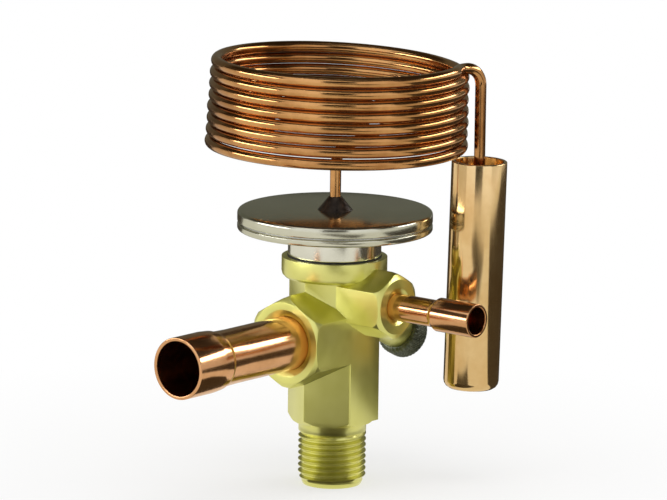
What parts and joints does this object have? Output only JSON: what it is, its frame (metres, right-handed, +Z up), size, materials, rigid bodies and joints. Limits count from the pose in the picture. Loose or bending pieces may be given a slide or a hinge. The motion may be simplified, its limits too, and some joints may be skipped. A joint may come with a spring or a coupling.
{
  "type": "thermostatic expansion valve",
  "caption": "Refrigerant metering valve with a diaphragm element, coiled capillary and sensing bulb, brazed outlet and equaliser tubes, threaded inlet and capped superheat adjuster.",
  "frame": {"origin": "on the valve's vertical axis, at the shoulder where the threaded inlet spigot meets the body", "axes": "+Z up through the diaphragm element; -Y along the outlet; +X along the equaliser tube"},
  "size_m": [0.0729, 0.0863, 0.1016],
  "materials": {
    "brass": "forged and machined brass",
    "copper": "drawn copper, bright",
    "steel_cover": "pressed stainless steel, satin",
    "steel_bright": "turned stainless steel",
    "braze": "dark braze alloy",
    "seal_dark": "black sealing material",
    "cap_metal": "knurled metal, dark plated",
    "spring_steel": "spring wire"
  },
  "bodies": {
    "valve": {"valve_body": "brass", "outlet_tube": "copper", "equaliser_tube": "copper", "element_neck": "steel_bright", "element_seal": "seal_dark", "element_lower_cover": "steel_cover", "element_upper_cover": "steel_cover", "diaphragm": "spring_steel", "capillary_braze_cone": "braze", "rod_seal": "seal_dark", "rod_guide": "brass", "orifice_gasket": "seal_dark", "orifice_cartridge": "brass", "cone_spring": "spring_steel", "spring_retainer": "steel_bright", "strainer_rim": "brass", "strainer_screen": "steel_bright", "spindle_seal": "seal_dark", "gland_nut": "brass", "spindle_cap": "cap_metal", "cap_gasket": "seal_dark", "superheat_spring": "spring_steel", "capillary_tube": "copper", "bulb_shell": "copper", "bulb_end_plug": "braze"},
    "stem": {"diaphragm_plate": "steel_bright", "push_rod": "steel_bright", "valve_cone": "steel_bright"},
    "spindle": {"adjusting_spindle": "brass"},
    "fork": {"adjusting_fork": "brass"},
    "seat": {"spring_seat": "brass"}
  },
  "joints": [
    {"name": "valve_stroke", "type": "slide", "parent": "valve", "child": "stem", "axis": [0, 0, -1], "range_m": [0, 0.0008], "stiffness_N_per_m": 8000, "springref_m": -0.002, "deforming": ["cone_spring", "superheat_spring"]},
    {"name": "spindle_turn", "type": "hinge", "parent": "valve", "child": "spindle", "pos_m": [0, 0, 0.0296], "axis": [0, -0.8988, 0.4384], "range_deg": [-1081, 1081]},
    {"name": "fork_slide", "type": "slide", "parent": "valve", "child": "fork", "axis": [0, -0.8988, 0.4384], "range_m": [-0.0015, 0.0015]},
    {"name": "seat_lift", "type": "slide", "parent": "valve", "child": "seat", "axis": [0, 0, 1], "range_m": [-0.00067, 0.00067], "deforming": ["superheat_spring"]}
  ],
  "couplings": [
    {"joint": "spindle_turn", "follows": "fork_slide", "rad_per_m": 12566},
    {"joint": "seat_lift", "follows": "fork_slide", "ratio": 0.43837}
  ]
}
